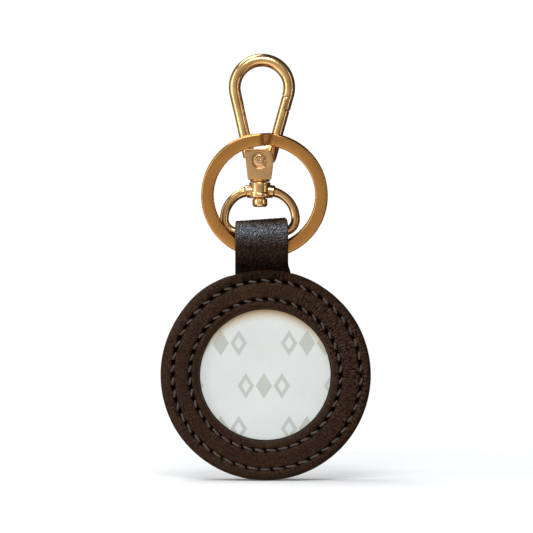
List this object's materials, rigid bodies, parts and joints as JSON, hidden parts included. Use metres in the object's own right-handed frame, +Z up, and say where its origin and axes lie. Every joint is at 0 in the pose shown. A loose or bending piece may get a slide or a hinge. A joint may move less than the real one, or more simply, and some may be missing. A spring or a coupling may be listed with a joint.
{
  "type": "bluetooth tracker tag",
  "caption": "Round stitched leather key tag that holds a slim tracker puck behind a recessed adhesive seat, with a leather strap loop, split key ring and swivel trigger snap hook.",
  "frame": {"origin": "inner top of the snap hook's eye, where the tag hangs from", "axes": "+Z up, along the hanging tag; +Y away from the front face, out of the leather back; +X to the right seen from the front"},
  "size_m": [0.05, 0.0109, 0.1018],
  "materials": {
    "leather_cover": "satin pebble grain",
    "leather_strap": "satin pebble grain",
    "leather_back": "satin pebble grain",
    "seam_thread": "bonded polyester thread",
    "padding_foam": "closed-cell foam",
    "core_board": "pressed board",
    "adhesive_foam": "acrylic foam tape",
    "release_paper": "silicone-coated release paper with a pale printed pattern",
    "shell_plastic": "fine matt texture",
    "board_laminate": "solder mask",
    "chip_plastic": "moulded epoxy",
    "cell_steel": "brushed",
    "contact_metal": "plated spring strip",
    "sounder_brass": "rolled sheet",
    "hook_gold": "polished light gold plating",
    "ring_brass": "brushed flat faces with polished edges",
    "spring_steel": "drawn wire"
  },
  "bodies": {
    "hook": {"hook_body": "hook_gold", "gate_rivet": "hook_gold", "gate_spring": "spring_steel"},
    "gate": {"gate_lever": "hook_gold"},
    "swivel": {"swivel_loop": "hook_gold"},
    "tag": {"front_leather_cover": "leather_cover", "padding_ring": "padding_foam", "frame_core": "core_board", "rear_leather_disc": "leather_back", "strap_loop": "leather_strap", "outer_seam_needle_thread": "seam_thread", "outer_seam_bobbin_thread": "seam_thread", "inner_seam_needle_thread": "seam_thread", "inner_seam_bobbin_thread": "seam_thread", "adhesive_pad": "adhesive_foam", "release_liner": "release_paper", "tracker_front_shell": "shell_plastic", "tracker_rear_shell": "shell_plastic", "circuit_board": "board_laminate", "board_components": "chip_plastic", "coin_cell": "cell_steel", "battery_contact_positive": "contact_metal", "battery_contact_negative": "contact_metal", "sounder_disc": "sounder_brass"},
    "key_ring": {"split_key_ring": "ring_brass"}
  },
  "joints": [
    {"name": "gate_hinge", "type": "hinge", "parent": "hook", "child": "gate", "pos_m": [-0.00055, 0, -0.02263], "axis": [0, -1, 0], "range_deg": [0, 32], "stiffness_Nm_per_rad": 0.02, "springref_deg": -22.92, "deforming": ["gate_spring"]},
    {"name": "swivel_spin", "type": "hinge", "parent": "hook", "child": "swivel", "pos_m": [-0.0005, 0, -0.0305], "axis": [0, 0, 1], "continuous": true},
    {"name": "tag_swing", "type": "hinge", "parent": "swivel", "child": "tag", "pos_m": [-0.0005, 0, -0.0397], "axis": [1, 0, 0], "range_deg": [0, 100]},
    {"name": "ring_swing", "type": "hinge", "parent": "tag", "child": "key_ring", "pos_m": [0.0006, -0.0014, -0.04345], "axis": [1, 0, 0], "range_deg": [0, 122]}
  ]
}
